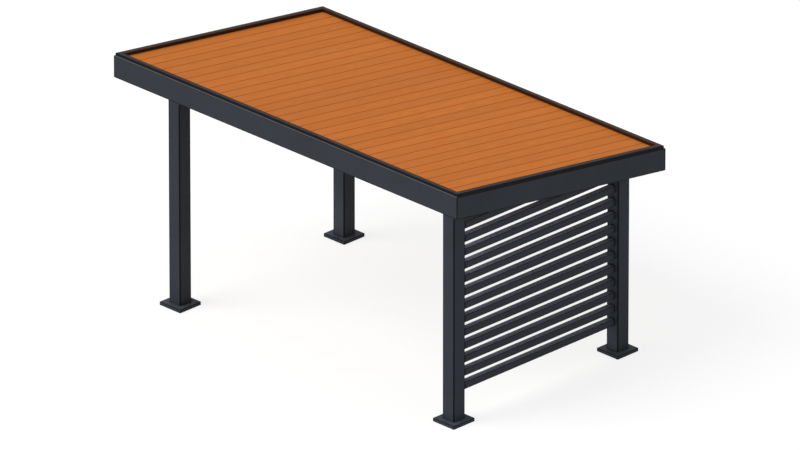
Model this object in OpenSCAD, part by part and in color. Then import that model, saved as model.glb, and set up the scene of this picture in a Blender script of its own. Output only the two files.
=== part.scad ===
// Lean-to patio cover: four steel posts, a sloping plank roof in a folded steel fascia,
// and a screen of horizontal slats that closes the right-hand end.
// X runs along the roof towards the screen, Y from the high front to the low rear, Z up.
// The origin is on the ground at the middle of the overall box. Sizes are in millimetres.

/* [Bay] */
// Length over the outer faces of the posts
bay_length = 4213; // [3000:1:6000]
// Depth over the outer faces of the posts
bay_depth = 2591; // [1800:1:3600]
// Clear height from the ground to the underside of the front beam
front_height = 2361; // [2200:1:2800]

/* [Roof] */
// Fall of the roof from front to rear, in degrees
roof_fall = 8; // [4:0.5:12]
// Roof past the left posts
overhang_left = 809; // [200:1:1200]
// Roof past the right posts
overhang_right = 43; // [0:1:60]
// Roof past the rear posts
overhang_rear = 488; // [100:1:700]
// Thickness of the folded plate of the four fascia beams
beam_plate = 6.35; // [4:0.05:8]
// Width of the two flanges of a fascia beam
beam_flange = 76.2; // [60:0.1:90]
// Outside radius of the folds of a fascia beam
beam_bend = 10; // [9:0.5:14]

/* [Rim] */
// Distance of the rim from the outer face of the fascia
rim_inset = 12; // [4:1:20]
// Height of the rim above the fascia
rim_height = 28; // [20:1:40]
// Wall of the rim tube
rim_wall = 3; // [2:0.5:4]
// Corner radius of the rim tube
rim_corner = 5; // [4.5:0.5:8]

/* [Deck boards] */
// Width that one board covers
board_face = 169.5; // [120:0.1:220]
// Thickness of a board
board_thick = 38.1; // [32:0.1:45]
// Joint left open between two boards
board_joint = 0.6; // [0.4:0.1:0.9]
// Length of the tongue
tongue_length = 9; // [6:0.5:12]
// Thickness of the tongue
tongue_thick = 12; // [8:0.5:14]
// Depth of the V at each board edge
board_v = 3; // [1:0.5:5]
// Room round the deck and at the ends of the rafters, for fitting
fit_gap = 5; // [5:0.5:8]

/* [Roof frame] */
// Depth of a rafter
rafter_depth = 203.2; // [150:0.1:230]
// Width of a rafter
rafter_width = 101.6; // [60:0.1:110]
// Depth of a purlin
purlin_depth = 101.6; // [60:0.1:130]
// Width of a purlin
purlin_width = 50.8; // [40:0.1:76]
// Rows of purlins under the boards
purlin_rows = 4; // [3:1:5]
// Wall of the rafter and purlin tubes
frame_wall = 4.8; // [3:0.1:6]
// Corner radius of the rafter and purlin tubes
frame_corner = 8; // [7:0.5:12]

/* [Posts] */
// Side of a square post
post_size = 165.1; // [120:0.1:180]
// Wall of a post
post_wall = 6.35; // [4:0.05:7.5]
// Corner radius of a post
post_corner = 9; // [8:0.5:16]
// Thickness of the plate that closes the top of a post
cap_plate = 9.5; // [6:0.5:16]

/* [Feet] */
// Side of a base plate
plate_size = 254; // [245:1:280]
// Thickness of a base plate
plate_thick = 12.7; // [8:0.1:19]
// Distance between the anchor holes, both ways
hole_spacing = 203.2; // [200:0.1:210]
// Diameter of an anchor hole
hole_diameter = 18; // [14:0.5:20]
// Side of the cover over a base plate
cover_size = 304.8; // [300:0.1:340]
// Height of the cover
cover_height = 38.1; // [34:0.1:50]
// Sheet of the cover
cover_sheet = 3.2; // [2:0.1:4]
// Room between the cover and the post
cover_gap = 0.3; // [0.2:0.1:0.8]

/* [Screen] */
// Side of a square slat
slat_size = 76.2; // [40:0.1:100]
// Open space between two slats
slat_gap = 76.2; // [40:0.1:120]
// Drop from the underside of the front beam to the top of the first slat
slat_drop = 119; // [90:1:300]
// Least height of the last slat above the ground
slat_clearance = 300; // [100:1:600]
// Wall of a slat
slat_wall = 3.2; // [2:0.1:5]
// Corner radius of a slat
slat_corner = 2.5; // [1:0.5:8]

/* [Hidden] */
$fn = 48;
// Flats in each rounded corner
arc_steps = 6;

steel = [0.225, 0.235, 0.255];
steel_trim = [0.17, 0.185, 0.21];
steel_dull = [0.45, 0.46, 0.47];
wood = [0.75, 0.44, 0.21];

// The beams are as deep as what they hold: two flanges, the boards and the rafters.
beam_depth = 2 * beam_plate + board_thick + rafter_depth;
deck_top = beam_plate;
deck_bottom = deck_top + board_thick;
rafter_bottom = deck_bottom + rafter_depth;

// Plan of the roof and the posts, with the overall box centred on the origin
roof_length = overhang_left + bay_length + overhang_right;
roof_depth = bay_depth + overhang_rear;
cover_proud = (cover_size - post_size) / 2;
box_length = overhang_left + bay_length + max(overhang_right, cover_proud);
box_depth = cover_proud + roof_depth;
roof_left = -box_length / 2;
roof_right = roof_left + roof_length;
roof_front = -box_depth / 2 + cover_proud;
roof_rear = roof_front + roof_depth;

post_left = roof_left + overhang_left + post_size / 2;
post_right = post_left + bay_length - post_size;
post_front = roof_front + post_size / 2;
post_rear = post_front + bay_depth - post_size;
post_inside_front = post_front + post_size / 2;
post_inside_rear = post_rear - post_size / 2;

// Height of the roof's top surface at its front face
fall = tan(roof_fall);
plumb = 1 / cos(roof_fall);
roof_top = front_height + beam_depth * plumb;

// Rafters over the two left posts, halfway, and against the right beam
rafter_left = post_left;
rafter_right = roof_right - beam_flange - rafter_width / 2;
rafter_middle = (rafter_left + rafter_right) / 2;

// Inner limits of the deck, and how far down the slope the first and last purlins lie
deck_left = roof_left + beam_plate + fit_gap;
deck_right = roof_right - beam_plate - fit_gap;
deck_front = roof_front + beam_plate + fit_gap;
deck_rear = roof_rear - beam_plate - fit_gap;
purlin_first = (deck_front - roof_front + (deck_bottom + purlin_depth) * sin(roof_fall)) * plumb;
purlin_last = (deck_rear - roof_front + deck_bottom * sin(roof_fall)) * plumb - purlin_width;
purlin_pitch = (purlin_last - purlin_first) / (purlin_rows - 1);

// An odd number of boards, with one on the middle line and the outer two ripped to fit
half_boards = ceil(((deck_right - deck_left) / board_face - 1) / 2);
roof_middle = (roof_left + roof_right) / 2;

// Slats are set out downwards from the roof, as many as there is room for
slat_pitch = slat_size + slat_gap;
slat_top = front_height - slat_drop;
slat_count = floor((slat_top - slat_clearance + slat_gap) / slat_pitch);

// Long enough to pass right through the roof or a post
reach = 2 * (roof_length + roof_depth + front_height);

function roof_height(y, depth) = roof_top - (y - roof_front) * fall - depth * plumb;
function roof_point(y, depth) = [y, roof_height(y, depth)];
function unit(v) = v / norm(v);
function two_digits(n) = n < 10 ? str("0", n) : str(n);
function slat_name(n) = str("slat_", two_digits(n));
function purlin_name(row, bay) = str("purlin_", row, "_", bay);
function rectangle(x0, y0, x1, y1) = [[x0, y0], [x1, y0], [x1, y1], [x0, y1]];
function four(radius) = [for (i = [1:4]) radius];

// Each purlin bay as its name, where it starts and where it ends
purlin_bays = [
    ["left", roof_left + beam_plate, rafter_left - rafter_width / 2],
    ["middle", rafter_left + rafter_width / 2, rafter_middle - rafter_width / 2],
    ["right", rafter_middle + rafter_width / 2, rafter_right - rafter_width / 2]
];

// Each post as its name and the middle of its foot
post_places = [
    ["front_left", post_left, post_front],
    ["front_right", post_right, post_front],
    ["rear_left", post_left, post_rear],
    ["rear_right", post_right, post_rear]
];

// The points of one corner of an outline, rounded between the points before and after it
function corner_arc(before, corner, after, radius) =
    radius == 0 ? [corner] :
    let (
        u = unit(before - corner),
        v = unit(after - corner),
        half = acos(u * v) / 2,
        centre = corner + unit(u + v) * radius / sin(half),
        first = corner + u * radius / tan(half) - centre,
        last = corner + v * radius / tan(half) - centre,
        from = atan2(first[1], first[0]),
        turn = (atan2(last[1], last[0]) - from + 540) % 360 - 180
    )
    [for (i = [0:arc_steps])
        centre + radius * [cos(from + turn * i / arc_steps), sin(from + turn * i / arc_steps)]];

// A convex outline with one radius for each corner
module soft_outline(points, radii) {
    count = len(points);
    polygon([for (i = [0:count - 1])
        each corner_arc(
            points[(i + count - 1) % count], points[i], points[(i + 1) % count], radii[i]
        )]);
}

// A tube section between two corners. Inside, its corners are sharp if the wall is thicker
// than the corner radius.
module tube_section(x0, y0, x1, y1, wall, corner) {
    inner_corner = max(corner - wall, 0);
    difference() {
        soft_outline(rectangle(x0, y0, x1, y1), four(corner));
        soft_outline(rectangle(x0 + wall, y0 + wall, x1 - wall, y1 - wall), four(inner_corner));
    }
}

// A section drawn in Y and Z, extruded along X
module along_x(x0, x1) {
    translate([x0, 0, 0])
        rotate([90, 0, 90])
            linear_extrude(x1 - x0)
                children();
}

// The roof's own plane: its front top edge at Y 0, Y down the slope, Z square to the slope
module in_slope() {
    translate([0, roof_front, roof_top])
        rotate([-roof_fall, 0, 0])
            children();
}

// A section drawn in X and square to the slope, extruded down the whole slope
module down_slope() {
    in_slope()
        translate([0, reach / 2, 0])
            rotate([90, 0, 0])
                linear_extrude(reach)
                    children();
}

// A layer of the roof between two depths below its top surface
module roof_layer(depth, thickness) {
    in_slope()
        translate([-reach / 2, -reach / 2, -depth - thickness])
            cube([reach, reach, thickness]);
}

// A plan outline as tall as the whole structure, for plumb cuts and mitres
module plumb_cut(points) {
    linear_extrude(reach / 2)
        polygon(points);
}

// The plan of one side of the roof border, mitred at both corners
module border_cut(side) {
    f = beam_flange;
    plan = side == "front"
        ? [[roof_left, roof_front], [roof_right, roof_front],
           [roof_right - f, roof_front + f], [roof_left + f, roof_front + f]]
        : side == "rear"
        ? [[roof_left, roof_rear], [roof_left + f, roof_rear - f],
           [roof_right - f, roof_rear - f], [roof_right, roof_rear]]
        : side == "left"
        ? [[roof_left, roof_front], [roof_left + f, roof_front + f],
           [roof_left + f, roof_rear - f], [roof_left, roof_rear]]
        : [[roof_right, roof_front], [roof_right, roof_rear],
           [roof_right - f, roof_rear - f], [roof_right - f, roof_front + f]];
    plumb_cut(plan);
}

// The section of a front or rear beam: a plumb web with flanges that follow the slope
module eave_section(web, inward) {
    toe = web + inward * beam_flange;
    past_toe = toe + inward * fit_gap;
    inner_web = web + inward * beam_plate;
    difference() {
        soft_outline(
            [roof_point(web, 0), roof_point(toe, 0),
             roof_point(toe, beam_depth), roof_point(web, beam_depth)],
            [beam_bend, 0, 0, beam_bend]
        );
        soft_outline(
            [roof_point(inner_web, deck_top), roof_point(past_toe, deck_top),
             roof_point(past_toe, rafter_bottom), roof_point(inner_web, rafter_bottom)],
            [beam_bend - beam_plate, 0, 0, beam_bend - beam_plate]
        );
    }
}

// The section of a left or right beam, square to the slope
module verge_section(web, inward) {
    toe = web + inward * beam_flange;
    past_toe = toe + inward * fit_gap;
    inner_web = web + inward * beam_plate;
    difference() {
        soft_outline(
            [[web, 0], [toe, 0], [toe, -beam_depth], [web, -beam_depth]],
            [beam_bend, 0, 0, beam_bend]
        );
        soft_outline(
            [[inner_web, -deck_top], [past_toe, -deck_top],
             [past_toe, -rafter_bottom], [inner_web, -rafter_bottom]],
            [beam_bend - beam_plate, 0, 0, beam_bend - beam_plate]
        );
    }
}

module front_beam() {
    color(steel)
        intersection() {
            along_x(roof_left, roof_right)
                eave_section(roof_front, 1);
            border_cut("front");
        }
}

module rear_beam() {
    color(steel)
        intersection() {
            along_x(roof_left, roof_right)
                eave_section(roof_rear, -1);
            border_cut("rear");
        }
}

module left_beam() {
    color(steel)
        intersection() {
            down_slope()
                verge_section(roof_left, 1);
            border_cut("left");
        }
}

module right_beam() {
    color(steel)
        intersection() {
            down_slope()
                verge_section(roof_right, -1);
            border_cut("right");
        }
}

// The section of a front or rear rim tube, with plumb sides
module eave_rim_section(outer, inner) {
    step = sign(inner - outer) * rim_wall;
    difference() {
        soft_outline(
            [roof_point(outer, 0), roof_point(inner, 0),
             roof_point(inner, -rim_height), roof_point(outer, -rim_height)],
            four(rim_corner)
        );
        soft_outline(
            [roof_point(outer + step, -rim_wall), roof_point(inner - step, -rim_wall),
             roof_point(inner - step, rim_wall - rim_height),
             roof_point(outer + step, rim_wall - rim_height)],
            four(rim_corner - rim_wall)
        );
    }
}

module front_rim() {
    color(steel_trim)
        intersection() {
            along_x(roof_left, roof_right)
                eave_rim_section(roof_front + rim_inset, roof_front + beam_flange);
            border_cut("front");
        }
}

module rear_rim() {
    color(steel_trim)
        intersection() {
            along_x(roof_left, roof_right)
                eave_rim_section(roof_rear - rim_inset, roof_rear - beam_flange);
            border_cut("rear");
        }
}

module left_rim() {
    color(steel_trim)
        intersection() {
            down_slope()
                tube_section(
                    roof_left + rim_inset, 0, roof_left + beam_flange, rim_height,
                    rim_wall, rim_corner
                );
            border_cut("left");
        }
}

module right_rim() {
    color(steel_trim)
        intersection() {
            down_slope()
                tube_section(
                    roof_right - beam_flange, 0, roof_right - rim_inset, rim_height,
                    rim_wall, rim_corner
                );
            border_cut("right");
        }
}

// A rafter rests on the lower flanges of the front and rear beams
module rafter(x) {
    color(steel)
        intersection() {
            down_slope()
                tube_section(
                    x - rafter_width / 2, -rafter_bottom, x + rafter_width / 2, -deck_bottom,
                    frame_wall, frame_corner
                );
            plumb_cut(rectangle(x - rafter_width, deck_front, x + rafter_width, deck_rear));
        }
}

// A purlin fills its bay between two rafters, flush with their tops
module purlin(row, bay) {
    start = purlin_first + (row - 1) * purlin_pitch;
    color(steel)
        in_slope()
            along_x(bay[1], bay[2])
                tube_section(
                    start, -deck_bottom - purlin_depth, start + purlin_width, -deck_bottom,
                    frame_wall, frame_corner
                );
}

// Packing plates fill the thickness of a beam flange between the posts' caps and the rafters
module rafter_packers() {
    color(steel_dull)
        for (x = [rafter_left, rafter_right], span = [
            [roof_front + beam_flange, post_inside_front],
            [post_inside_rear, post_inside_rear + post_size]
        ])
            intersection() {
                roof_layer(rafter_bottom, beam_plate);
                plumb_cut(rectangle(
                    x - rafter_width / 2, span[0], x + rafter_width / 2, span[1]
                ));
            }
}

// Tongue-and-groove board, its tongue towards +X, with a V at each edge of both faces
module board_section(middle) {
    left = middle - board_face / 2 + board_joint / 2;
    right = middle + board_face / 2 - board_joint / 2;
    top = -deck_top;
    bottom = -deck_bottom;
    centre = (top + bottom) / 2;
    tongue = tongue_thick / 2;
    slot = tongue + board_joint;
    slot_end = left + tongue_length + board_joint;
    polygon([
        [left + board_v, top], [right - board_v, top], [right, top - board_v],
        [right, centre + tongue], [right + tongue_length, centre + tongue],
        [right + tongue_length, centre - tongue], [right, centre - tongue],
        [right, bottom + board_v], [right - board_v, bottom],
        [left + board_v, bottom], [left, bottom + board_v],
        [left, centre - slot], [slot_end, centre - slot],
        [slot_end, centre + slot], [left, centre + slot], [left, top - board_v]
    ]);
}

// The boards whose middle lines lie between two places along the roof
module deck_boards(from, to) {
    color(wood)
        for (i = [-half_boards:half_boards]) {
            middle = roof_middle + i * board_face;
            if (middle >= from && middle < to)
                intersection() {
                    down_slope()
                        board_section(middle);
                    plumb_cut(rectangle(deck_left, deck_front, deck_right, deck_rear));
                }
        }
}

module post(place) {
    half = post_size / 2;
    color(steel)
        intersection() {
            translate([place[1], place[2], plate_thick])
                linear_extrude(reach / 4)
                    tube_section(-half, -half, half, half, post_wall, post_corner);
            roof_layer(beam_depth + cap_plate, reach / 2);
        }
}

module post_cap(place) {
    half = post_size / 2;
    color(steel)
        intersection() {
            translate([place[1], place[2], 0])
                linear_extrude(reach / 4)
                    soft_outline(rectangle(-half, -half, half, half), four(post_corner));
            roof_layer(beam_depth, cap_plate);
        }
}

module base_plate(place) {
    color(steel_dull)
        translate([place[1], place[2], 0])
            difference() {
                translate([-plate_size / 2, -plate_size / 2, 0])
                    cube([plate_size, plate_size, plate_thick]);
                for (x = [-1, 1], y = [-1, 1])
                    translate([x * hole_spacing / 2, y * hole_spacing / 2, -1])
                        cylinder(d = hole_diameter, h = plate_thick + 2);
            }
}

// A folded cover that slips down the post and hides the plate and its anchors
module base_cover(place) {
    half = cover_size / 2;
    inner = half - cover_sheet;
    opening = post_size / 2 + cover_gap;
    bevel = cover_sheet / 2;
    color(steel)
        translate([place[1], place[2], 0])
            difference() {
                translate([-half, -half, 0])
                    cube([cover_size, cover_size, cover_height]);
                translate([-inner, -inner, -1])
                    cube([2 * inner, 2 * inner, cover_height - cover_sheet + 1]);
                linear_extrude(2 * cover_height)
                    soft_outline(
                        rectangle(-opening, -opening, opening, opening),
                        four(post_corner + cover_gap)
                    );
                for (turn = [0:90:270])
                    rotate([0, 0, turn])
                        translate([half, 0, cover_height])
                            rotate([0, 45, 0])
                                cube([bevel * sqrt(2), 2 * cover_size, bevel * sqrt(2)], center = true);
            }
}

// A slat is welded between the right-hand posts and cut along the slope where it meets the rafter.
// The first is the highest.
module slat(n) {
    half = slat_size / 2;
    middle = slat_top - half - (n - 1) * slat_pitch;
    color(steel)
        intersection() {
            translate([post_right, post_inside_rear, middle])
                rotate([90, 0, 0])
                    linear_extrude(post_inside_rear - post_inside_front)
                        tube_section(-half, -half, half, half, slat_wall, slat_corner);
            roof_layer(rafter_bottom, reach / 2);
        }
}

for (place = post_places) {
    post(place);
    post_cap(place);
    base_plate(place);
    base_cover(place);
}
front_beam();
rear_beam();
left_beam();
right_beam();
front_rim();
rear_rim();
left_rim();
right_rim();
rafter(rafter_left);
rafter(rafter_middle);
rafter(rafter_right);
rafter_packers();
for (row = [1:purlin_rows], bay = purlin_bays)
    purlin(row, bay);
deck_boards(roof_left - board_face, rafter_left);  // deck_boards_left
deck_boards(rafter_left, rafter_middle);  // deck_boards_middle
deck_boards(rafter_middle, roof_right + board_face);  // deck_boards_right
for (n = [1:slat_count])
    slat(n);
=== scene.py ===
# %% [markdown]
# # A lean-to patio cover, finished as for its catalogue picture
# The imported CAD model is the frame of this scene: four posts, a folded steel fascia, a plank roof
# and a screen of slats, in metres and already in their places. They keep their shapes. This
# lesson adds what the fabricator and the painter add: the weld beads and seals where the pieces
# meet, and then the powder coat, the primer and the oiled wood on every surface.

import math

import bmesh
import bpy
from mathutils import Matrix, Vector


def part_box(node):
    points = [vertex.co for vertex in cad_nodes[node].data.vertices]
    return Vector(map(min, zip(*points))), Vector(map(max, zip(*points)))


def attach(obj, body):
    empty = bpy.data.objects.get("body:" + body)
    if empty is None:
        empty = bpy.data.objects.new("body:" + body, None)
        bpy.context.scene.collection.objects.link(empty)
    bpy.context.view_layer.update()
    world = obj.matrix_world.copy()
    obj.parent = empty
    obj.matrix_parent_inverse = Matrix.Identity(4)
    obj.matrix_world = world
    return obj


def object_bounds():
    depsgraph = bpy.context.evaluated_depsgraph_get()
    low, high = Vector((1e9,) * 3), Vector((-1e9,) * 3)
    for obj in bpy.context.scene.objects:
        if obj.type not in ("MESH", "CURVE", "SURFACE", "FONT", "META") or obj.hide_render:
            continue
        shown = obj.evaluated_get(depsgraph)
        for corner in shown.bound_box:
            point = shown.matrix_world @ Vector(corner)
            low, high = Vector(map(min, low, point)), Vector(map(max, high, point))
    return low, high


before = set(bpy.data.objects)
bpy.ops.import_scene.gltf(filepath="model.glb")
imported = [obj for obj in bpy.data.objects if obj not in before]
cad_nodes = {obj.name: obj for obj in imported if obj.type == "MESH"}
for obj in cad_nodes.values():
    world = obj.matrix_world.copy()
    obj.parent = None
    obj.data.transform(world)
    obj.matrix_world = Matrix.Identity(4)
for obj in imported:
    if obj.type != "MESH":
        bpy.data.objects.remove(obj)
cad_low, cad_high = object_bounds()
print("CAD pieces:", len(cad_nodes))
print("box from", [round(v, 4) for v in cad_low], "to", [round(v, 4) for v in cad_high])

# %% [markdown]
# ## The sizes that the pieces share
# X runs along the roof towards the screen, Y from the high front to the low rear, Z up. The beads
# and seals have to lie exactly on the steel, so their places are read from the boxes of the CAD
# pieces. Only sizes that a box doesn't show, such as the fall of the roof, the width of a flange
# and the radius of a corner, are written out.

# %% Sizes and places
ROOF_FALL = math.radians(8)
BEAM_DEPTH, BEAM_FLANGE, BEAM_PLATE, BEAM_FOLD = 0.254, 0.0762, 0.00635, 0.010
RIM_INSET, RIM_HEIGHT, RIM_CORNER = 0.012, 0.028, 0.005
POST_CORNER, CAP_PLATE = 0.009, 0.0095
SLAT_CORNER, FRAME_CORNER = 0.0025, 0.008
BOARD_FACE = 0.1695

roof_left, roof_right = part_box("left_beam")[0].x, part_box("right_beam")[1].x
roof_front, roof_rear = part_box("front_beam")[0].y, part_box("rear_beam")[1].y
roof_middle = (roof_left + roof_right) / 2
roof_halfway = (roof_front + roof_rear) / 2
front_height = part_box("front_beam")[0].z + BEAM_FLANGE * math.tan(ROOF_FALL)
roof_top = front_height + BEAM_DEPTH / math.cos(ROOF_FALL)
rafter_line = BEAM_DEPTH - BEAM_PLATE


def roof_height(y, depth):
    """The height of a point so far along the roof and so deep below its top surface."""
    return roof_top - (y - roof_front) * math.tan(ROOF_FALL) - depth / math.cos(ROOF_FALL)


def centre(node):
    low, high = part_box(node)
    return (low + high) / 2


ALONG, BACK, UP = Vector((1, 0, 0)), Vector((0, 1, 0)), Vector((0, 0, 1))
DOWN_SLOPE = Vector((0, math.cos(ROOF_FALL), -math.sin(ROOF_FALL)))
OFF_SLOPE = Vector((0, math.sin(ROOF_FALL), math.cos(ROOF_FALL)))
print("roof", round(roof_right - roof_left, 4), "by", round(roof_rear - roof_front, 4), "m")
print("clear height", round(front_height, 4), "m, top of the roof", round(roof_top, 4), "m")

# %% [markdown]
# ## The camera
# The picture is drawn almost without perspective, from 45 degrees to the right of the front and a
# little above. A very long lens from far away gives the same drawing as a parallel camera, and it
# can still be moved round the object and keep all of it in view. The point it looks at is given
# as steps to the right and down from the middle of the object.

# %% Camera
VIEW_AZIMUTH = math.radians(45.0)
VIEW_ELEVATION = math.radians(24.685)
VIEW_WIDTH = 8.368                   # metres across the picture at the middle of the object
AIM_RIGHT, AIM_DOWN = 0.1302, 0.2947
LENS, FILM_WIDTH = 900.0, 36.0       # millimetres
NEAREST, FARTHEST = 1.0, 2000.0

towards_camera = Vector((
    math.sin(VIEW_AZIMUTH) * math.cos(VIEW_ELEVATION),
    -math.cos(VIEW_AZIMUTH) * math.cos(VIEW_ELEVATION),
    math.sin(VIEW_ELEVATION),
))
picture_right = Vector((math.cos(VIEW_AZIMUTH), math.sin(VIEW_AZIMUTH), 0))
picture_up = towards_camera.cross(picture_right)
aim = (cad_low + cad_high) / 2 + picture_right * AIM_RIGHT - picture_up * AIM_DOWN
distance = VIEW_WIDTH * LENS / FILM_WIDTH

bpy.ops.object.select_all(action="DESELECT")
bpy.ops.object.camera_add(location=aim + towards_camera * distance)
camera = bpy.context.object
camera.name = "catalogue_camera"
camera.rotation_euler = (-towards_camera).to_track_quat("-Z", "Y").to_euler()
camera.data.lens = LENS
camera.data.sensor_width = FILM_WIDTH
camera.data.clip_start, camera.data.clip_end = NEAREST, FARTHEST
bpy.context.scene.camera = camera
print("the camera stands", round(distance, 1), "m away")

# %% [markdown]
# ## Tools for node trees
# A material is a tree of small nodes. Two helpers keep the lesson short: one adds any node and
# sets its sockets, the other adds a step of arithmetic between numbers and other nodes. Colours
# are shown as they are written, so the view transform is Standard.

# %% Node tools
bpy.context.scene.view_settings.view_transform = "Standard"


def is_output(value):
    return isinstance(value, bpy.types.NodeSocket)


def add(tree, kind, sockets=None, **settings):
    """A new node with its settings, and values or links for its sockets by name or number."""
    node = tree.nodes.new("ShaderNode" + kind)
    for name, value in settings.items():
        setattr(node, name, value)
    for name, value in (sockets or {}).items():
        if is_output(value):
            tree.links.new(value, node.inputs[name])
        else:
            node.inputs[name].default_value = value
    return node


def sums(tree, operation, *values):
    """A step of arithmetic. Each value is a number or the output of a node."""
    return add(tree, "Math", dict(enumerate(values)), operation=operation).outputs[0]


def new_finish(name):
    """A new material, with its tree and its shader."""
    finish = bpy.data.materials.new(name)
    finish.use_nodes = True
    return finish, finish.node_tree, finish.node_tree.nodes["Principled BSDF"]


print("view transform:", bpy.context.scene.view_settings.view_transform)

# %% [markdown]
# ## The world
# The real structure stands outdoors, but its picture shows it on plain white. So the world looks
# white wherever the camera sees it, straight, in a shine or through something clear, and lights
# the object at an ordinary level otherwise. The Light Path node tells these rays apart.

# %% World
WHITE = (1.0, 1.0, 1.0, 1.0)
SKY_SEEN, SKY_LIGHT = 1.0, 0.53


def seen_directly(tree):
    """One for rays from the camera, in a shine or through glass, and nought for the others."""
    path = add(tree, "LightPath").outputs
    shiny = sums(tree, "MAXIMUM", path["Is Camera Ray"], path["Is Glossy Ray"])
    return sums(tree, "MAXIMUM", shiny, path["Is Transmission Ray"])


studio = bpy.data.worlds.new("studio")
bpy.context.scene.world = studio
studio.use_nodes = True
tree = studio.node_tree
tree.nodes.clear()
light_part = add(tree, "Background", {"Color": WHITE, "Strength": SKY_LIGHT})
seen_part = add(tree, "Background", {"Color": WHITE, "Strength": SKY_SEEN})
mix = add(tree, "MixShader", {0: seen_directly(tree), 1: light_part.outputs[0],
                              2: seen_part.outputs[0]})
add(tree, "OutputWorld", {0: mix.outputs[0]})
print("the sky lights with", SKY_LIGHT, "and looks", SKY_SEEN)

# %% [markdown]
# ## Floor and lamp
# The floor is white in the same way. What the camera sees of it is a glow and a little lit paint,
# so that it keeps the shadow of the object. One wide lamp from the upper left front makes the
# front faces lighter than the right-hand ones, as in the picture.

# %% Floor and lamp
FLOOR_SIZE = 90.0
FLOOR_PAINT, SEEN_PAINT, SEEN_GLOW = 0.8, 0.26, 0.78
LAMP_POWER, LAMP_WIDTH = 2.1, math.radians(40)
LAMP_PLACE, LAMP_FROM = (-4, -6, 8), Vector((-0.35, -0.62, 0.70))


def matt_paint(tree, level):
    return add(tree, "BsdfDiffuse", {"Color": (level, level, level, 1)}).outputs[0]


bpy.ops.object.select_all(action="DESELECT")
bpy.ops.mesh.primitive_plane_add(size=FLOOR_SIZE, location=(0, 0, 0))
floor = bpy.context.object
floor.name = "floor"
floor_white, tree, shader = new_finish("floor_white")
tree.nodes.remove(shader)
glow = add(tree, "Emission", {"Color": WHITE, "Strength": SEEN_GLOW})
seen_part = add(tree, "AddShader", {0: matt_paint(tree, SEEN_PAINT), 1: glow.outputs[0]})
mix = add(tree, "MixShader", {0: seen_directly(tree), 1: matt_paint(tree, FLOOR_PAINT),
                              2: seen_part.outputs[0]})
tree.links.new(mix.outputs[0], tree.nodes["Material Output"].inputs[0])
floor.data.materials.append(floor_white)

bpy.ops.object.light_add(type="SUN", location=LAMP_PLACE)
lamp = bpy.context.object
lamp.name = "soft_lamp"
lamp.data.energy = LAMP_POWER
lamp.data.angle = LAMP_WIDTH
lamp.rotation_euler = LAMP_FROM.to_track_quat("Z", "Y").to_euler()
print("floor", FLOOR_SIZE, "m wide, lamp", LAMP_POWER)

# %% [markdown]
# ## How a bead is laid
# A weld bead and a line of sealant are the same shape: a rounded cord of metal or rubber along
# the line where two pieces meet. A bead could be a scaled cylinder, but most of these run round
# the corners of a tube. So the line comes first, as bare edges: a plane is added where the pieces
# meet, its corners are rounded with a vertex bevel, and its face is deleted. A straight line is
# extruded from a single point instead.

# %% Outlines with rounded corners
CORNER_STEPS = 4


def turned(across, upwards):
    """The turn that lays a plane's own X and Y along two directions."""
    return Matrix((across, upwards, across.cross(upwards))).transposed().to_euler()


def start_plane(name, place, across, upwards):
    bpy.ops.object.select_all(action="DESELECT")
    bpy.ops.mesh.primitive_plane_add(size=1, location=place, rotation=turned(across, upwards))
    piece = bpy.context.object
    piece.name = name
    piece.data.name = name
    return piece


def tube_outline(name, place, across, upwards, width, height, corner, stretch=1.0):
    """The edges of a rounded rectangle, stretched upwards where it cuts a tube aslant."""
    piece = start_plane(name, place, across, upwards)
    piece.scale = (width, height, 1)
    bpy.ops.object.transform_apply(location=False, rotation=False, scale=True)
    bpy.ops.object.mode_set(mode="EDIT")
    bpy.ops.mesh.select_all(action="SELECT")
    bpy.ops.mesh.bevel(offset=corner, segments=CORNER_STEPS, affect="VERTICES")
    bpy.ops.mesh.delete(type="ONLY_FACE")
    bpy.ops.object.mode_set(mode="OBJECT")
    piece.scale = (1, stretch, 1)
    bpy.ops.object.transform_apply(location=True, rotation=True, scale=True)
    bpy.ops.object.mode_set(mode="EDIT")
    return piece


print("each corner of an outline has", CORNER_STEPS, "edges")


# %% Straight lines, and a cut
def path_outline(name, start, end):
    """One straight edge, extruded from a plane that is merged to a point."""
    piece = start_plane(name, start, ALONG, BACK)
    bpy.ops.object.transform_apply(location=True, rotation=True, scale=True)
    bpy.ops.object.mode_set(mode="EDIT")
    bpy.ops.mesh.select_all(action="SELECT")
    bpy.ops.mesh.merge(type="CENTER")
    bpy.ops.mesh.extrude_region_move(TRANSFORM_OT_translate={"value": end - start})
    return piece


def cut_away(place, towards):
    """Cuts the edges being edited with a plane, and drops what lies on its far side."""
    bpy.ops.mesh.select_all(action="SELECT")
    bpy.ops.mesh.bisect(plane_co=place, plane_no=towards, clear_outer=True)


print("square off the slope is", [round(v, 3) for v in OFF_SLOPE])

# %% [markdown]
# The edges are made a curve, which is given a round section and made a mesh again. A welder moves
# on by a few millimetres at a time, which leaves the bead rippled, so every other point of a weld
# is thinner. A line of sealant is never quite even, so its points are moved a little at random,
# from a fixed seed.

# %% From edges to a bead
WELD_STEP, WELD_RIPPLE = 0.004, 0.16
SECTION_STEPS, MERGE_WITHIN, SMOOTH_BELOW = 2, 0.00001, math.radians(60)
UNEVEN_SEED = 7


def split_edges(piece, longest):
    """Halves the edges being edited until none is longer than a given length."""
    while True:
        mesh = bmesh.from_edit_mesh(piece.data)
        long_edges = [e for e in mesh.edges if e.calc_length() > longest]
        if not long_edges:
            return
        bpy.ops.mesh.select_all(action="DESELECT")
        for edge in long_edges:
            edge.select_set(True)
        bmesh.update_edit_mesh(piece.data)
        bpy.ops.mesh.subdivide(number_cuts=1)


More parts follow.
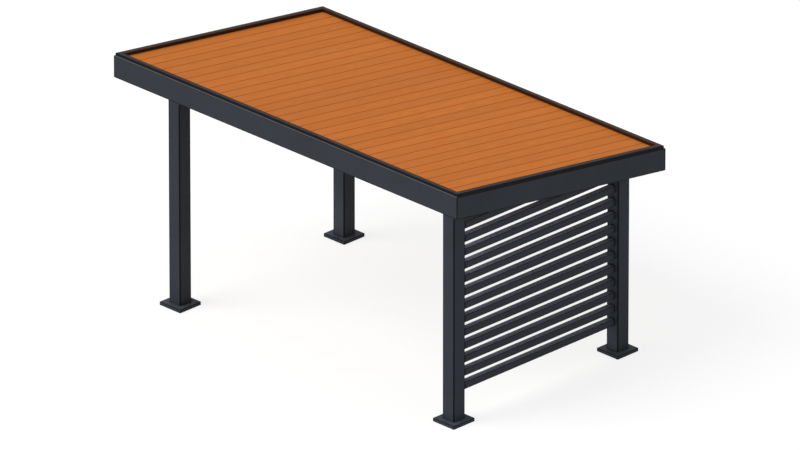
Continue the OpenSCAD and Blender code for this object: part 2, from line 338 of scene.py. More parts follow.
def lay_bead(piece, radius, step, ripple=0.0, unevenness=0.0):
    """Makes the edges being edited into a round bead, rippled as a weld or uneven as a sealant."""
    split_edges(piece, step)
    if unevenness:
        bpy.ops.mesh.select_all(action="SELECT")
        bpy.ops.transform.vertex_random(offset=unevenness, seed=UNEVEN_SEED)
    bpy.ops.object.mode_set(mode="OBJECT")
    bpy.ops.object.convert(target="CURVE")
    piece = bpy.context.object
    for spline in piece.data.splines:
        for number, point in enumerate(spline.points):
            point.radius = 1 - ripple * (number % 2)
    piece.data.bevel_depth = radius
    piece.data.bevel_resolution = SECTION_STEPS
    piece.data.use_fill_caps = True
    bpy.ops.object.convert(target="MESH")
    piece = bpy.context.object
    bpy.ops.object.mode_set(mode="EDIT")
    bpy.ops.mesh.select_all(action="SELECT")
    bpy.ops.mesh.remove_doubles(threshold=MERGE_WITHIN)
    bpy.ops.mesh.normals_make_consistent(inside=False)
    bpy.ops.object.mode_set(mode="OBJECT")
    bpy.ops.object.shade_smooth_by_angle(angle=SMOOTH_BELOW)
    return piece


print("a weld has a point every", 1000 * WELD_STEP, "mm")

# %% [markdown]
# A bead that repeats is laid once and copied. All beads of a kind are then joined into one piece
# with its origin at nought, which is named and rides on the one body that the part has.

# %% Copies and finished pieces
finished = {}


def repeat(piece, moves):
    """Copies of a piece, each with its own mesh, moved from it by each of the moves."""
    copies = []
    for move in moves:
        bpy.ops.object.select_all(action="DESELECT")
        piece.select_set(True)
        bpy.context.view_layer.objects.active = piece
        bpy.ops.object.duplicate(linked=False)
        bpy.ops.transform.translate(value=move)
        copies.append(bpy.context.object)
    return copies


def settle(name, pieces, finish):
    """Joins pieces into one at the origin, and says what it rides on and how it is finished."""
    bpy.ops.object.select_all(action="DESELECT")
    for piece in pieces:
        piece.select_set(True)
    bpy.context.view_layer.objects.active = pieces[0]
    if len(pieces) > 1:
        bpy.ops.object.join()
    bpy.ops.object.transform_apply(location=True, rotation=True, scale=True)
    piece = bpy.context.object
    piece.name = name
    piece.data.name = name
    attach(piece, "root")
    finished[piece] = finish
    print(name, "faces:", len(piece.data.polygons))


# %% [markdown]
# ## Welds of the screen
# Each slat of the screen is a square tube, welded all round where it meets a post. One bead is
# laid round the first slat at the front post and copied down the screen and across to the rear
# post. The two highest slats are different at the rear. They run into the sloping rafter, where
# the cut of the tube is a long oval, and the second one still reaches the rear post with its
# lowest part.

# %% Beads round the slats
SLAT_BEAD = 0.0035

slats = sorted(name for name in cad_nodes if name.startswith("slat_"))
slat_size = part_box(slats[0])[1].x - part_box(slats[0])[0].x
slat_tops = [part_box(name)[0].z + slat_size for name in slats]
screen_x = centre(slats[0]).x
front_face, rear_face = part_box(slats[-1])[0].y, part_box(slats[-1])[1].y


def slat_outline(name, y, top):
    place = Vector((screen_x, y, top - slat_size / 2))
    return tube_outline(name, place, ALONG, UP, slat_size, slat_size, SLAT_CORNER)


first = lay_bead(slat_outline("slat_bead", front_face, slat_tops[0]), SLAT_BEAD, WELD_STEP,
                 WELD_RIPPLE)
down = [UP * (top - slat_tops[0]) for top in slat_tops]
rear_beads = repeat(first, [step + BACK * (rear_face - front_face) for step in down[2:]])
front_beads = [first] + repeat(first, down[1:])

second = slat_outline("slat_bead_low", rear_face, slat_tops[1])
cut_away(Vector((screen_x, rear_face, roof_height(rear_face, rafter_line))), OFF_SLOPE)
rear_beads.append(lay_bead(second, SLAT_BEAD, WELD_STEP, WELD_RIPPLE))
settle("screen_welds_front", front_beads, "weld_coat")
settle("screen_welds_rear", rear_beads, "weld_coat")

# %% Beads under the rafter
rafter_beads = []
for number in (0, 1):
    start = (roof_front
             + (roof_height(roof_front, rafter_line) - slat_tops[number]) / math.tan(ROOF_FALL))
    end = start + slat_size / math.tan(ROOF_FALL)
    middle = (start + end) / 2
    place = Vector((screen_x, middle, roof_height(middle, rafter_line)))
    length = (end - start) / math.cos(ROOF_FALL)
    oval = tube_outline("rafter_bead", place, ALONG, DOWN_SLOPE, slat_size, slat_size,
                        SLAT_CORNER, stretch=length / slat_size)
    if end > rear_face:
        cut_away(Vector((screen_x, rear_face, 0)), BACK)
    rafter_beads.append(lay_bead(oval, SLAT_BEAD, WELD_STEP, WELD_RIPPLE))
    print("slat", number + 1, "meets the rafter over", round(min(end, rear_face) - start, 3), "m")
settle("screen_welds_rafter", rafter_beads, "weld_coat")

# %% [markdown]
# ## Welds of the roof frame
# Under the boards, each purlin is welded between two rafters, or to the fascia beam on the left.
# The boards cover its top edge, so its bead runs down one side, underneath and up the other. One
# bead is laid at the first purlin, cut open at the top and copied to the other ends. The middle
# rafter has no post under it, so a short bead holds it on the edge of each beam's lower flange.

# %% Beads at the purlins
PURLIN_WIDTH, PURLIN_DEPTH, PURLIN_BEAD = 0.0508, 0.1016, 0.003


def purlin_ends(name):
    """The middle of the section at both ends of a purlin."""
    low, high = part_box(name)
    middle = (low + high) / 2
    return [Vector((low.x, middle.y, middle.z)), Vector((high.x, middle.y, middle.z))]


purlins = [name for name in cad_nodes if name.startswith("purlin_")]
ends = [end for name in purlins for end in purlin_ends(name)]
collar = tube_outline("purlin_bead", ends[0], DOWN_SLOPE, OFF_SLOPE,
                      PURLIN_WIDTH, PURLIN_DEPTH, FRAME_CORNER)
cut_away(ends[0] + OFF_SLOPE * (PURLIN_DEPTH / 2 - FRAME_CORNER), OFF_SLOPE)
collar = lay_bead(collar, PURLIN_BEAD, WELD_STEP, WELD_RIPPLE)
settle("purlin_welds", [collar] + repeat(collar, [end - ends[0] for end in ends[1:]]),
       "weld_coat")

# %% Beads at the middle rafter
TOE_BEAD = 0.0035

rafter_low, rafter_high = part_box("rafter_middle")
half_bead = ALONG * ((rafter_high.x - rafter_low.x) / 2 - FRAME_CORNER)
toe_beads = []
for y in (roof_front + BEAM_FLANGE, roof_rear - BEAM_FLANGE):
    middle = Vector((centre("rafter_middle").x, y, roof_height(y, rafter_line)))
    line = path_outline("toe_bead", middle - half_bead, middle + half_bead)
    toe_beads.append(lay_bead(line, TOE_BEAD, WELD_STEP, WELD_RIPPLE))
settle("rafter_welds", toe_beads, "weld_coat")

# %% [markdown]
# ## Welds and seals of the posts
# The plate that closes the top of a post is welded on along the slope. The joint between that
# plate and the beam above it is filled with black sealant, so that no water stands in it. At the
# foot, a ring of the same sealant closes the gap between the post and the cover. All three run
# round the same rounded square, level at the foot and stretched by the slope at the top.

# %% Rings round the posts
CAP_BEAD, CAP_RIPPLE = 0.002, 0.12
CAP_SEAL, CAP_SEAL_RISE, CAP_SEAL_INSET = 0.003, 0.001, 0.0025
FOOT_SEAL, FOOT_SEAL_OUT = 0.0065, 0.0005
SEAL_STEP, SEAL_UNEVENNESS = 0.02, 0.0002

posts = [name for name in cad_nodes if name.startswith("post_") and "cap" not in name]
post_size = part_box(posts[0])[1].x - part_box(posts[0])[0].x
cover_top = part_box("base_cover_front_left")[1].z


def post_ring(name, place, size, direction=DOWN_SLOPE, stretch=1 / math.cos(ROOF_FALL)):
    return tube_outline(name, place, ALONG, direction, size, size, POST_CORNER, stretch)


cap_beads, cap_seals, foot_seals = [], [], []
for name in posts:
    x, y = centre(name).x, centre(name).y
    joint = Vector((x, y, roof_height(y, BEAM_DEPTH + CAP_PLATE)))
    ring = post_ring("cap_bead", joint, post_size)
    cap_beads.append(lay_bead(ring, CAP_BEAD, WELD_STEP, CAP_RIPPLE))
    joint = Vector((x, y, roof_height(y, BEAM_DEPTH - CAP_SEAL_RISE)))
    ring = post_ring("cap_seal", joint, post_size - 2 * CAP_SEAL_INSET)
    cap_seals.append(lay_bead(ring, CAP_SEAL, SEAL_STEP, unevenness=SEAL_UNEVENNESS))
    joint = Vector((x, y, cover_top))
    ring = post_ring("foot_seal", joint, post_size + 2 * FOOT_SEAL_OUT, BACK, 1.0)
    foot_seals.append(lay_bead(ring, FOOT_SEAL, SEAL_STEP, unevenness=SEAL_UNEVENNESS))
settle("post_cap_welds", cap_beads, "weld_coat")
settle("post_cap_seals", cap_seals, "black_sealant")
settle("post_foot_seals", foot_seals, "black_sealant")

# %% [markdown]
# ## Seals of the roof
# Rain runs down the planks to the fascia, so two long lines of sealant keep it out. A dark brown
# one fills the corner between the planks and the flange above them, and shows as a dark line
# round the wood. A black one closes the outer foot of the rim. Both are rectangles in the plane
# of the roof.

# %% Long seals
DECK_SEAL, DECK_SEAL_CORNER, DECK_UNEVENNESS = 0.006, 0.006, 0.0004
RIM_SEAL, RIM_SEAL_CORNER, RIM_UNEVENNESS = 0.0038, 0.003, 0.0003
RIM_SEAL_DEPTH, LONG_SEAL_STEP = 0.001, 0.05


def roof_ring(name, inset, depth, corner):
    """An outline in the plane of the roof, so far inside its outer faces."""
    place = Vector((roof_middle, roof_halfway, roof_height(roof_halfway, depth)))
    return tube_outline(name, place, ALONG, DOWN_SLOPE, roof_right - roof_left - 2 * inset,
                        (roof_rear - roof_front - 2 * inset) / math.cos(ROOF_FALL), corner)


deck_ring = roof_ring("deck_bead", BEAM_FLANGE, BEAM_PLATE, DECK_SEAL_CORNER)
deck_seal = lay_bead(deck_ring, DECK_SEAL, LONG_SEAL_STEP, unevenness=DECK_UNEVENNESS)
rim_ring = roof_ring("rim_bead", RIM_INSET, RIM_SEAL_DEPTH, RIM_SEAL_CORNER)
rim_seal = lay_bead(rim_ring, RIM_SEAL, LONG_SEAL_STEP, unevenness=RIM_UNEVENNESS)
settle("deck_seal", [deck_seal], "brown_sealant")
settle("rim_seal", [rim_seal], "black_sealant")

# %% [markdown]
# ## Mitre seams
# The four folded beams meet in mitres at the corners, and so do the four tubes of the rim. The
# welds there are ground nearly flush, so only a thin raised line shows, and it is finished in
# black like the sealant. Each is a straight path: up the corner of the fascia, up the corner of
# the rim, and across the top of the rim. The path is sunk by a third of its radius, so that only
# its back stands out.

# %% Seams at the corners
FASCIA_SEAM, FASCIA_SUNK, FASCIA_STEP = 0.0018, 0.0006, 0.03
RIM_SEAM, RIM_SUNK, RIM_STEP = 0.0012, 0.0004, 0.01
FOLD_PART, RIM_SEAM_START = 0.7, 0.003       # where the seams end in a fold and at the flange


def mitre_point(right, rear, inset, depth):
    """A point on one of the four mitres of the roof, so far from its outer faces."""
    x = roof_right - inset if right else roof_left + inset
    y = roof_rear - inset if rear else roof_front + inset
    return Vector((x, y, roof_height(y, depth)))


fascia_seams, rim_seams = [], []
for right, rear in ((False, False), (True, False), (False, True), (True, True)):
    line = path_outline("fascia_seam",
                        mitre_point(right, rear, FASCIA_SUNK, BEAM_DEPTH - BEAM_FOLD * FOLD_PART),
                        mitre_point(right, rear, FASCIA_SUNK, BEAM_FOLD * FOLD_PART))
    fascia_seams.append(lay_bead(line, FASCIA_SEAM, FASCIA_STEP))
    line = path_outline("rim_seam",
                        mitre_point(right, rear, RIM_INSET + RIM_SUNK, -RIM_SEAM_START),
                        mitre_point(right, rear, RIM_INSET + RIM_SUNK, RIM_CORNER - RIM_HEIGHT))
    rim_seams.append(lay_bead(line, RIM_SEAM, RIM_STEP))
    line = path_outline("rim_seam",
                        mitre_point(right, rear, RIM_INSET + RIM_CORNER, RIM_SUNK - RIM_HEIGHT),
                        mitre_point(right, rear, BEAM_FLANGE - RIM_CORNER, RIM_SUNK - RIM_HEIGHT))
    rim_seams.append(lay_bead(line, RIM_SEAM, RIM_STEP))
settle("fascia_seams", fascia_seams, "black_sealant")
settle("rim_seams", rim_seams, "black_sealant")

# %% [markdown]
# ## Powder coat
# All the steel carries one matt charcoal powder coat. Close up it has the fine orange peel of a
# baked powder, and its tone drifts a little from place to place. It is paler where a face looks
# up, partly from pale dust and partly from painted light that makes the tops lighter than the
# sides. In the picture each edge shows as a dark line. So the coat is darker for a few
# millimetres along the edges.
#
# How near an edge is can be worked out. On a face of a box, the distance to one of its sides is
# nought, and at an edge the distance to a second side is nought too. So the middle one of the
# three distances says how far away the edge is. A post or a slat is long and only its long edges
# count, so there the larger one of two distances says it.

# %% Distances for the coat
def place_of(tree):
    """The place of a point of the surface, in metres."""
    return add(tree, "TexCoord").outputs["Object"]


def coordinates(tree):
    """The same place as three numbers."""
    return add(tree, "SeparateXYZ", {0: place_of(tree)}).outputs


def inside(tree, coordinate, low, high):
    """How far a coordinate lies inside a span."""
    offset = sums(tree, "ABSOLUTE", sums(tree, "SUBTRACT", coordinate, (low + high) / 2))
    return sums(tree, "SUBTRACT", (high - low) / 2, offset)


def below_roof(tree, y, z):
    """How deep a point lies below the top surface of the roof, square to the slope."""
    plane = sums(tree, "MULTIPLY_ADD", y, -math.tan(ROOF_FALL),
                 roof_top + roof_front * math.tan(ROOF_FALL))
    return sums(tree, "MULTIPLY", sums(tree, "SUBTRACT", plane, z), math.cos(ROOF_FALL))


def middle_of_three(tree, a, b, c):
    smaller = sums(tree, "MINIMUM", a, b)
    larger = sums(tree, "MAXIMUM", a, b)
    return sums(tree, "MAXIMUM", smaller, sums(tree, "MINIMUM", larger, c))


def fading(tree, distance, full, gone):
    """One up to a first distance, and nought from a second one on."""
    return add(tree, "MapRange", {"Value": distance, "From Min": full, "From Max": gone,
                                  "To Min": 1.0, "To Max": 0.0},
               interpolation_type="SMOOTHSTEP").outputs[0]


print("the top plane is", round(roof_height(roof_halfway, 0), 4), "m high over the middle")

# %% [markdown]
# The four posts are alike and stand in a rectangle, and so do their covers, so one measure from
# the middle of the object serves all four. The slats repeat down the screen, so their height is
# taken within one step of it. The slats are also darker where they meet the posts, as painted
# shade, over a wider band at the front post.

# %% Edges of the posts, the covers and the slats
# Bands of painted shade on the slats where they meet the front and the rear post.
FRONT_POST_SHADE, REAR_POST_SHADE = 0.050, 0.008


def square_sides(tree, start, size):
    """Distances to the sides of four equal squares, one at each post, and the height."""
    x, y, z = coordinates(tree)
    left, right = centre(start + "_front_left").x, centre(start + "_front_right").x
    front, rear = centre(start + "_front_left").y, centre(start + "_rear_left").y
    distances = []
    for coordinate, low, high in ((x, left, right), (y, front, rear)):
        offset = sums(tree, "ABSOLUTE", sums(tree, "SUBTRACT", coordinate, (low + high) / 2))
        distances.append(inside(tree, offset, (high - low - size) / 2, (high - low + size) / 2))
    return (*distances, z)


def post_edges(tree):
    a, b, _ = square_sides(tree, "post", post_size)
    return sums(tree, "MAXIMUM", a, b)


def cover_edges(tree):
    low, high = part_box("base_cover_front_left")
    a, b, z = square_sides(tree, "base_cover", high.x - low.x)
    return middle_of_three(tree, a, b, inside(tree, z, low.z, high.z))


def slat_edges(tree):
    x, y, z = coordinates(tree)
    step = slat_tops[0] - slat_tops[1]
    down = sums(tree, "FLOORED_MODULO", sums(tree, "SUBTRACT", slat_tops[0] + step, z), step)
    side = inside(tree, x, screen_x - slat_size / 2, screen_x + slat_size / 2)
    arris = sums(tree, "MAXIMUM", side, inside(tree, down, 0.0, slat_size))
    # Painted shade on the slats next to the posts.
    from_front = sums(tree, "SUBTRACT", y, front_face + FRONT_POST_SHADE)
    from_rear = sums(tree, "SUBTRACT", rear_face - REAR_POST_SHADE, y)
    return sums(tree, "MINIMUM", arris, sums(tree, "MINIMUM", from_front, from_rear))


print("slats every", round(slat_tops[0] - slat_tops[1], 4), "m")


# %% Edges of the fascia and the rim
def roof_sides(tree):
    """Distances to the ends and to the front or rear of the roof, and the depth below its top."""
    x, y, z = coordinates(tree)
    return (inside(tree, x, roof_left, roof_right), inside(tree, y, roof_front, roof_rear),
            below_roof(tree, y, z))


def fascia_edges(tree):
    a, b, depth = roof_sides(tree)
    return middle_of_three(tree, a, b, inside(tree, depth, 0.0, BEAM_DEPTH))


def rim_edges(tree):
    a, b, depth = roof_sides(tree)
    inset = sums(tree, "MINIMUM", a, b)
    return middle_of_three(tree, sums(tree, "SUBTRACT", inset, RIM_INSET),
                           sums(tree, "SUBTRACT", BEAM_FLANGE, inset),
                           inside(tree, depth, -RIM_HEIGHT, 0.0))


print("the rim is", round(BEAM_FLANGE - RIM_INSET, 4), "m wide")

# %% [markdown]
# The layers of the coat are mixed one over the other: the body with its drifting tone, the dust
# with its painted top light, the dark edges, and last the patches of painted highlight and
# painted shade.

# %% Colours and numbers
COLOUR_A, COLOUR_B, COLOUR_OUT = 6, 7, 2     # the Mix node's sockets for colours


def mixed(tree, factor, first, second, blend="MIX"):
    """A mix of two colours, each written out or taken from a node."""
    node = add(tree, "Mix", data_type="RGBA", blend_type=blend)
    for socket, value in ((node.inputs["Factor"], factor), (node.inputs[COLOUR_A], first),
                          (node.inputs[COLOUR_B], second)):
        if is_output(value):
            tree.links.new(value, socket)
        elif isinstance(value, tuple):
            socket.default_value = (*value, 1)
        else:
            socket.default_value = value
    return node.outputs[COLOUR_OUT]


def toned(tree, colour, tone):
    """A colour made darker or lighter by a number."""
    grey = add(tree, "CombineColor", {0: tone, 1: tone, 2: tone}).outputs[0]
    return mixed(tree, 1.0, colour, grey, "MULTIPLY")


def noise(tree, place, scale, detail):
    """A cloud of numbers around a half."""
    return add(tree, "TexNoise", {"Vector": place, "Scale": scale, "Detail": detail}).outputs[0]


def ranged(tree, value, old, new):
    """A number brought from an old range into a new one."""
    return add(tree, "MapRange", {"Value": value, "From Min": old[0], "From Max": old[1],
                                  "To Min": new[0], "To Max": new[1]}).outputs[0]


print("a mix of colours comes out of socket", COLOUR_OUT)

# %% What every finish needs
BUMP_PART, WAVE_DETAIL = 0.35, 2.0


def facing(tree, axis):
    """How far a face looks along X, Y or Z, which are the axes 0, 1 and 2."""
    normal = add(tree, "NewGeometry").outputs["Normal"]
    return add(tree, "SeparateXYZ", {0: normal}).outputs[axis]


def cover_shader(tree, shader, colour, cloud, roughness):
    """Gives a shader its colour, and a roughness between two values that follows a cloud."""
    tree.links.new(colour, shader.inputs["Base Color"])
    tree.links.new(ranged(tree, cloud, (0.0, 1.0), roughness), shader.inputs["Roughness"])


def add_waves(tree, shader, place, length, height):
    """Fine waves as a bump: the orange peel of a baked powder, or the wrinkles of rubber."""
    waves = noise(tree, place, 1 / length, WAVE_DETAIL)
    bump = add(tree, "Bump", {"Strength": BUMP_PART, "Distance": height, "Height": waves})
    tree.links.new(bump.outputs[0], shader.inputs["Normal"])


print("strength of a bump:", BUMP_PART)

# %% The coat itself
COAT, RIM_COAT, WELD_COAT = (0.0305, 0.0347, 0.0437), (0.022, 0.027, 0.037), (0.024, 0.027, 0.034)
EDGE_COAT, EDGE_PART = (0.002, 0.003, 0.005), 0.95
# A pale colour for upward faces, made of dust and painted light that makes the tops lighter than
# the sides.
DUST_AND_TOP_LIGHT, UPWARD = (0.255, 0.277, 0.372), (0.75, 1.0)
TOP_AMOUNT = (0.0, 2.0)                         # twice, because the specks are a half on average
DRIFT_CLOUD, DRIFT = (0.3, 0.7), (0.93, 1.07)


def powder_coat(name, colour, edges=None, dark=(0.008, 0.013), dust_and_top_light=0.063, patches=()):
    """The coat, dark near the edges, and in another colour where a patch is painted on it, such as
    a painted highlight or painted shade.

    The colour and the dust, with its painted top light, are values, or functions that give them for
    each place.
    """
    finish, tree, shader = new_finish(name)
    place = place_of(tree)
    drift = ranged(tree, noise(tree, place, scale=2.3, detail=3.0), DRIFT_CLOUD, DRIFT)
    body = toned(tree, colour(tree) if callable(colour) else colour, drift)
    level = ranged(tree, facing(tree, 2), UPWARD, TOP_AMOUNT)
    top_paleness = sums(tree, "MULTIPLY", level, dust_and_top_light(tree) if callable(dust_and_top_light) else dust_and_top_light)
    specks = noise(tree, place, scale=38.0, detail=4.0)
    coat = mixed(tree, sums(tree, "MULTIPLY", top_paleness, specks), body, DUST_AND_TOP_LIGHT)
    if edges:
        near = sums(tree, "MULTIPLY", fading(tree, edges(tree), *dark), EDGE_PART)
        coat = mixed(tree, near, coat, EDGE_COAT)
    for where, changed in patches:
        coat = mixed(tree, where(tree), coat, changed)
    cover_shader(tree, shader, coat, specks, roughness=(0.52, 0.68))
    shader.inputs["Specular IOR Level"].default_value = 0.10
    add_waves(tree, shader, place, length=0.0014, height=0.0001)
    return finish


looks = {
    "frame_coat": powder_coat("frame_coat", COAT),
    "weld_coat": powder_coat("weld_coat", WELD_COAT),
}
print("coats with no dark edges:", ", ".join(looks))

# %% [markdown]
# ## Painted highlight, painted shade and painted light on the coat
# The upper fold of the front beam is painted lighter. This painted highlight is the thin pale line
# along the top of the front fascia. Along the inner side of the rim, and of the flange under it,
# the coat is painted dark brown. This is painted shade with a painted reflection of the wood, and
# it is the brown line between the wood and the steel. Both are patches of another colour over the
# coat, each found by a distance.
#
# The tops of the upper slats of the screen are made paler the higher they stand under the roof.
# This is painted light against the shade of the roof, so that all the tops look equally pale,
# though the upper ones get less light. The front faces of the rear posts are painted a little
# paler in the same way, as painted light in the shade of the roof.

# %% Painted highlight, painted shade, dust and painted light
# A painted highlight along the upper fold of the front beam, broken up by a cloud.
FOLD_HIGHLIGHT, FOLD_HIGHLIGHT_FADE = (0.090, 0.100, 0.110), (0.0055, 0.0085)
HIGHLIGHT_CLOUD, HIGHLIGHT_STRENGTH = (0.25, 0.55), (0.75, 1.0)
# Painted shade with a painted reflection of the wood, dark brown along the inner side of the rim.
RIM_SHADE_AND_REFLECTION, RIM_SHADE_FADE, RIM_SHADE_DEPTH = (0.034, 0.0100, 0.0006), (0.026, 0.040), (0.010, 0.015)
# Painted light on the slat tops, growing towards the roof to make up for its shade.
LOWEST_SLAT_PALENESS, UNDER_ROOF_LIGHT, UNDER_ROOF_POWER = 0.30, 0.75, 2.5
# A paler coat for the front faces of the rear posts: painted light in the shade of the roof.
PAINTED_LIGHT_COAT, FRONT_FACE = (0.044, 0.051, 0.068), (-0.9, -0.5)


def front_fold_highlight(tree):
    """Where the painted highlight lies: one on the upper fold of the front beam, and nought
    elsewhere.
    """
    _, y, z = coordinates(tree)
    away = sums(tree, "MAXIMUM", below_roof(tree, y, z), sums(tree, "SUBTRACT", y, roof_front))
    highlight_patches = ranged(tree, noise(tree, place_of(tree), scale=14.0, detail=3.0), HIGHLIGHT_CLOUD, HIGHLIGHT_STRENGTH)
    return sums(tree, "MULTIPLY", fading(tree, away, *FOLD_HIGHLIGHT_FADE), highlight_patches)


def rim_inner_shade(tree):
    """Where the painted shade and painted reflection of the wood lie: one on the inner side of the
    rim and a little way across its top, and nought elsewhere.
    """
    a, b, depth = roof_sides(tree)
    to_planks = sums(tree, "SUBTRACT", BEAM_FLANGE, sums(tree, "MINIMUM", a, b))
    return sums(tree, "MULTIPLY", fading(tree, to_planks, *RIM_SHADE_FADE),
                fading(tree, depth, *RIM_SHADE_DEPTH))


def slat_top_dust_and_light(tree):
    """How pale the tops of the slats are made, with dust and painted light: most under the roof, as
    painted light against its shade, and less further down.
    """
    height = coordinates(tree)[2]
    up = ranged(tree, height, (slat_tops[-2], slat_tops[1]), (0.0, 1.0))
    return sums(tree, "MULTIPLY_ADD", sums(tree, "POWER", up, UNDER_ROOF_POWER), UNDER_ROOF_LIGHT, LOWEST_SLAT_PALENESS)


def post_colour(tree):
    """The coat of the posts, paler on the front faces of the two rear ones as painted light against
    the shade of the roof.
    """
    rear = sums(tree, "GREATER_THAN", coordinates(tree)[1], roof_halfway)
    shade_lift = sums(tree, "MULTIPLY", fading(tree, facing(tree, 1), *FRONT_FACE), rear)
    return mixed(tree, shade_lift, COAT, PAINTED_LIGHT_COAT)


print("the stain ends", RIM_SHADE_FADE[1], "m from the planks")

# %% The coats with dark edges
# The dark brown patch of painted shade and painted reflection along the inner side of the rim.
rim_shade_patch = (rim_inner_shade, RIM_SHADE_AND_REFLECTION)
# The painted highlight goes only on the front beam's coat.
painted_highlight = (front_fold_highlight, FOLD_HIGHLIGHT)
for name, colour, edges, others in (
        ("post_coat", post_colour, post_edges, {"dark": (0.010, 0.016)}),
        ("cover_coat", COAT, cover_edges, {"dark": (0.0045, 0.009), "dust_and_top_light": 0.105}),
        ("slat_coat", COAT, slat_edges, {"dark": (0.003, 0.0075), "dust_and_top_light": slat_top_dust_and_light}),
        ("fascia_coat", COAT, fascia_edges, {"patches": [rim_shade_patch]}),
        ("front_coat", COAT, fascia_edges, {"patches": [rim_shade_patch, painted_highlight]}),
        ("rim_coat", RIM_COAT, rim_edges, {"dark": (0.010, 0.018), "dust_and_top_light": 0.0105,
                                           "patches": [rim_shade_patch]})):
    looks[name] = powder_coat(name, colour, edges, **others)
print("coats:", ", ".join(looks))

# %% [markdown]
# ## Primer and sealant
# The base plates and the packing plates are hidden, so they carry only grey zinc primer, which is
# mottled and rough. The sealant is rubber with a soft shine, black on the steel and dark brown
# beside the planks. It wrinkles a little as it sets, and that is a bump again.

# %% Zinc primer
ZINC_DARK, ZINC_PALE = (0.21, 0.215, 0.225), (0.36, 0.365, 0.375)
FLAKE, FLAKE_PART, FLAKES = (0.16, 0.165, 0.17), 0.4, 260.0      # so many flakes to a metre

zinc, tree, shader = new_finish("zinc_primer")
place = place_of(tree)
flakes = add(tree, "TexVoronoi", {"Vector": place, "Scale": FLAKES}).outputs["Distance"]
cloud = noise(tree, place, scale=22.0, detail=4.0)
mottled = mixed(tree, cloud, ZINC_DARK, ZINC_PALE)
flaked = mixed(tree, sums(tree, "MULTIPLY", flakes, FLAKE_PART), mottled, FLAKE)
cover_shader(tree, shader, flaked, cloud, roughness=(0.55, 0.8))
shader.inputs["Metallic"].default_value = 0.25
add_waves(tree, shader, place, length=0.003, height=0.0002)
looks["zinc_primer"] = zinc
print("one flake of the primer is", round(1000 / FLAKES, 1), "mm wide")

# %% Sealant
for name, deep, pale in (("black_sealant", (0.004, 0.0035, 0.0035), (0.012, 0.010, 0.009)),
                         ("brown_sealant", (0.018, 0.006, 0.0012), (0.036, 0.012, 0.002))):
    sealant, tree, shader = new_finish(name)
    place = place_of(tree)
    streaks = noise(tree, place, scale=55.0, detail=3.0)
    cover_shader(tree, shader, mixed(tree, streaks, deep, pale), streaks, roughness=(0.42, 0.6))
    shader.inputs["Specular IOR Level"].default_value = 0.2
    add_waves(tree, shader, place, length=0.006, height=0.0004)
    looks[name] = sealant
print("finishes so far:", ", ".join(looks))

# %% [markdown]
# ## Oiled planks
# The roof is thirty-one planks of oiled softwood. Each comes from another tree, so each has its
# own tone and its own grain. One finish serves the three CAD pieces of the deck. The number of
# the plank follows from the place along the roof, and a white noise of that number gives the
# plank its own values. A Mapping node first tilts the coordinates with the roof, so that the
# grain runs down the slope.

# %% Planks and their own values
wood, tree, shader = new_finish("oiled_wood")
tilted = add(tree, "Mapping", {"Vector": place_of(tree), "Rotation": (ROOF_FALL, 0, 0)},
             vector_type="POINT").outputs[0]
x, y, z = add(tree, "SeparateXYZ", {0: tilted}).outputs
planks = sums(tree, "DIVIDE", sums(tree, "SUBTRACT", x, roof_middle - BOARD_FACE / 2), BOARD_FACE)
from_middle = sums(tree, "SUBTRACT", sums(tree, "FRACT", planks), 0.5)
across = sums(tree, "MULTIPLY", from_middle, BOARD_FACE)
own = add(tree, "TexWhiteNoise", {"W": sums(tree, "FLOOR", planks)}, noise_dimensions="1D")
own_1, own_2, own_3 = add(tree, "SeparateColor", {0: own.outputs["Color"]}).outputs
print("the roof is", round((roof_right - roof_left) / BOARD_FACE, 1), "planks long")

# %% [markdown]
# A plank's grain is a slice through the rings of a trunk: rings round a centre line that lies
# below the plank and wanders from side to side show on the top as long nested curves. Between
# them lie the fibres, a noise that is drawn out along the plank.

# %% Rings and fibres
TREE_STEP, RING_STEP = 40.0, 0.0065          # metres from tree to tree and from ring to ring
SWAY, SIDE_SPREAD = 0.16, 0.06               # how far the centre line lies to the side
LEAST_DEPTH, DEPTH_SPREAD, DEPTH_SWAY = 0.02, 0.05, 0.05
FIBRES_ACROSS, FIBRES_ALONG = 420.0, 9.0     # fibres to a metre


def combined(tree, x, y, z):
    return add(tree, "CombineXYZ", {0: x, 1: y, 2: z}).outputs[0]


def square(tree, value):
    return sums(tree, "MULTIPLY", value, value)


along = sums(tree, "MULTIPLY_ADD", own_1, TREE_STEP, y)
wander = noise(tree, combined(tree, own_2, along, own_3), scale=0.9, detail=2.0)
sideways = sums(tree, "MULTIPLY_ADD", sums(tree, "SUBTRACT", wander, 0.5), SWAY,
                sums(tree, "MULTIPLY_ADD", own_2, SIDE_SPREAD, -SIDE_SPREAD / 2))
from_pith = sums(tree, "SUBTRACT", across, sideways)
deep = sums(tree, "MULTIPLY_ADD", wander, DEPTH_SWAY,
            sums(tree, "MULTIPLY_ADD", own_3, DEPTH_SPREAD, LEAST_DEPTH))
radius = sums(tree, "SQRT", sums(tree, "ADD", square(tree, from_pith), square(tree, deep)))
wave = sums(tree, "SINE", sums(tree, "MULTIPLY", radius, 2 * math.pi / RING_STEP))
rings = sums(tree, "MULTIPLY_ADD", wave, 0.5, 0.5)
drawn_out = combined(tree, sums(tree, "MULTIPLY", x, FIBRES_ACROSS),
                     sums(tree, "MULTIPLY", along, FIBRES_ALONG),
                     sums(tree, "MULTIPLY", z, FIBRES_ACROSS))
fibres = noise(tree, drawn_out, scale=1.0, detail=5.0)
print("a year's ring every", 1000 * RING_STEP, "mm")

# %% [markdown]
# Dark oil stays in the V joints, which draws the fine brown lines of the picture. The undersides
# never see the sun and get only clear oil, so they are paler. They also throw a soft light on the
# screen and the posts below.

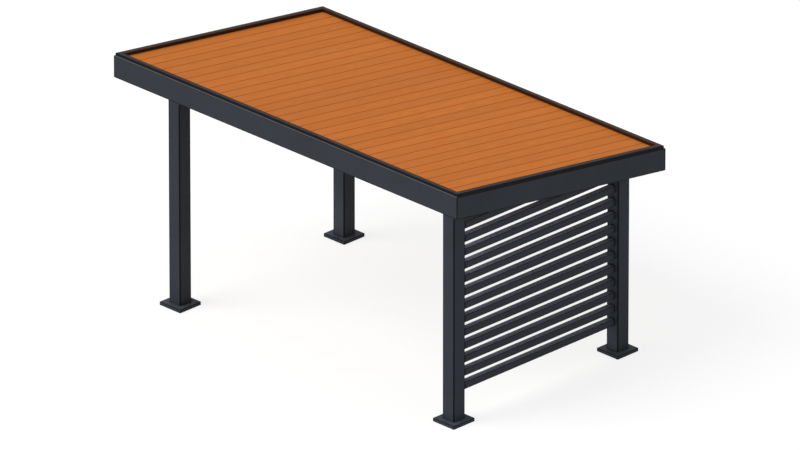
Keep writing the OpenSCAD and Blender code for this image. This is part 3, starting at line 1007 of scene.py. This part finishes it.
# %% Colours of the planks
WOOD_PALE, WOOD_DARK = (0.600, 0.186, 0.027), (0.478, 0.122, 0.010)
RING_PART, PLANK_TONES = 0.45, (0.95, 1.05)
OIL_DARK, JOINT_FADE = (0.34, 0.062, 0.003), (0.003, 0.0068)
WOOD_CLEAR, CLEAR_PART, UNDERSIDE = (0.68, 0.47, 0.28), 0.75, (-0.7, -0.3)

figure = sums(tree, "MULTIPLY_ADD", rings, RING_PART,
              sums(tree, "MULTIPLY", fibres, 1 - RING_PART))
grain = mixed(tree, figure, WOOD_PALE, WOOD_DARK)
tinted = toned(tree, grain, ranged(tree, own_1, (0.0, 1.0), PLANK_TONES))
to_joint = sums(tree, "SUBTRACT", BOARD_FACE / 2, sums(tree, "ABSOLUTE", across))
oiled = mixed(tree, fading(tree, to_joint, *JOINT_FADE), tinted, OIL_DARK)
below = sums(tree, "MULTIPLY", fading(tree, facing(tree, 2), *UNDERSIDE), CLEAR_PART)
cover_shader(tree, shader, mixed(tree, below, oiled, WOOD_CLEAR), figure, roughness=(0.5, 0.66))
shader.inputs["Specular IOR Level"].default_value = 0.07
bump = add(tree, "Bump", {"Strength": 0.4, "Distance": 0.0003, "Height": fibres})
tree.links.new(bump.outputs[0], shader.inputs["Normal"])
looks["oiled_wood"] = wood
print("finishes:", len(looks))

# %% [markdown]
# ## Every piece gets its finish
# Each coat knows the edges of one shape, and the name of a CAD piece says which shape it has, so
# its name decides its finish. The CAD pieces keep their meshes: only the material in their slot
# changes. The new pieces were given the name of their finish when they were made.

# %% Finishes on the CAD pieces and on the new ones
def finish_of(name):
    for start, finish in (("post_cap", "frame_coat"), ("post_", "post_coat"),
                          ("base_plate", "zinc_primer"), ("base_cover", "cover_coat"),
                          ("rafter_packers", "zinc_primer"), ("front_beam", "front_coat"),
                          ("deck_boards", "oiled_wood"), ("slat_", "slat_coat"),
                          ("rafter", "frame_coat"), ("purlin", "frame_coat")):
        if name.startswith(start):
            return finish
    return "rim_coat" if name.endswith("_rim") else "fascia_coat"


dressed = {node: finish_of(name) for name, node in cad_nodes.items()}
dressed.update(finished)
used = {}
for piece, finish in dressed.items():
    piece.data.materials.clear()
    piece.data.materials.append(looks[finish])
    used[finish] = used.get(finish, 0) + 1
for finish, count in used.items():
    print(finish, "on", count, "pieces")
